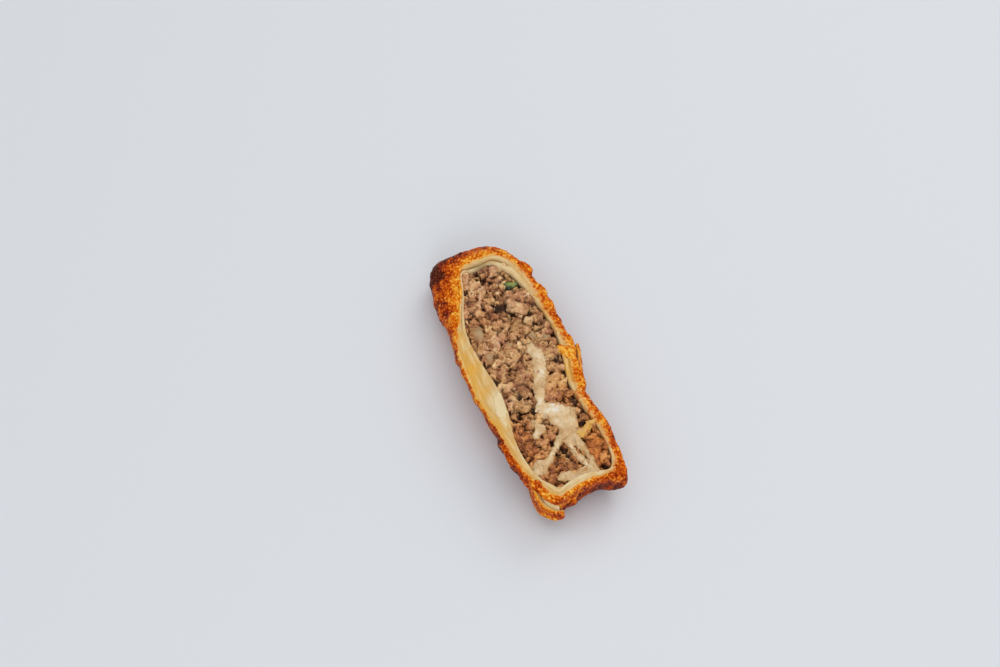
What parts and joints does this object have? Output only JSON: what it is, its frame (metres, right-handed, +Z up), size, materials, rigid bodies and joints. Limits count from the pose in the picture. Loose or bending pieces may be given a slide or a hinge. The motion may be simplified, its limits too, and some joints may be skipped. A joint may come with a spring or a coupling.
{
  "type": "cheesesteak egg roll",
  "caption": "Half of a fried cheesesteak egg roll, cut along its length, with chopped beef, melted cheese, green pepper and onion showing at the cut.",
  "frame": {"origin": "on the surface that the roll lies on, under the middle of its bounding box", "axes": "+X along the roll from the wide crusted far end to the near end with the loose tail, +Y across the cut face, +Z up out of the cut face"},
  "size_m": [0.1136, 0.0452, 0.0181],
  "materials": {
    "fried_wrapper": "fried golden brown crust with a pale layered cut edge, slightly oily",
    "chopped_beef": "moist, crumbly cooked beef",
    "melted_cheese": "soft, glossy and slightly see-through",
    "green_pepper": "wet, dark green",
    "onion": "wet, pale and slightly see-through"
  },
  "bodies": {
    "root": {"wrapper": "fried_wrapper", "beef_filling": "chopped_beef", "melted_cheese": "melted_cheese", "small_cheese": "melted_cheese", "green_pepper": "green_pepper", "onion_1": "onion", "onion_2": "onion", "onion_3": "onion", "onion_4": "onion", "onion_5": "onion"}
  },
  "joints": []
}
